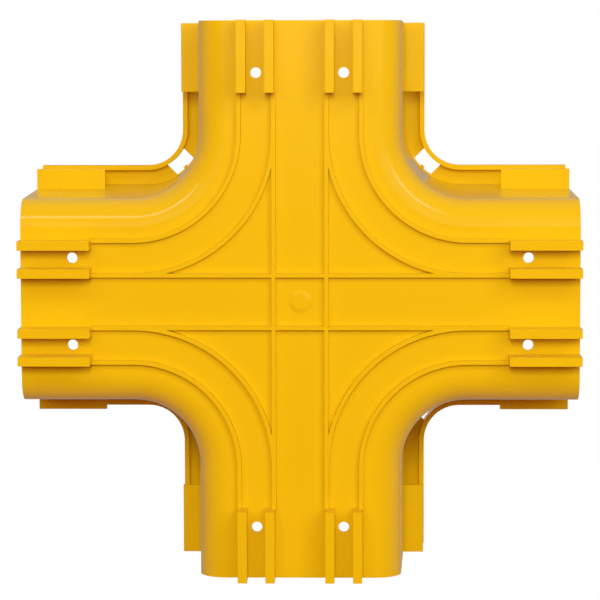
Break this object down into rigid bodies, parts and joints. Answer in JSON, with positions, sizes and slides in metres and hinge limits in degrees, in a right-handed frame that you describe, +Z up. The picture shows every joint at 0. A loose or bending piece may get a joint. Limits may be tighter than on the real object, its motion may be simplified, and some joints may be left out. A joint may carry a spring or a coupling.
{
  "type": "fibre raceway cross fitting",
  "caption": "Open-topped cross-shaped trough, moulded in one piece, that joins raceway channels at right angles, with turned-down rims, side flanges, underside rails and ribs.",
  "frame": {"origin": "middle of the cross on the plane of the rail feet", "axes": "+Z up, out of the open side of the troughs; +X and +Y along two neighbouring arms"},
  "size_m": [0.3048, 0.3048, 0.1349],
  "materials": {
    "yellow_plastic": "smooth satin gloss, yellow all through"
  },
  "bodies": {
    "root": {"cross_fitting": "yellow_plastic"}
  },
  "joints": []
}
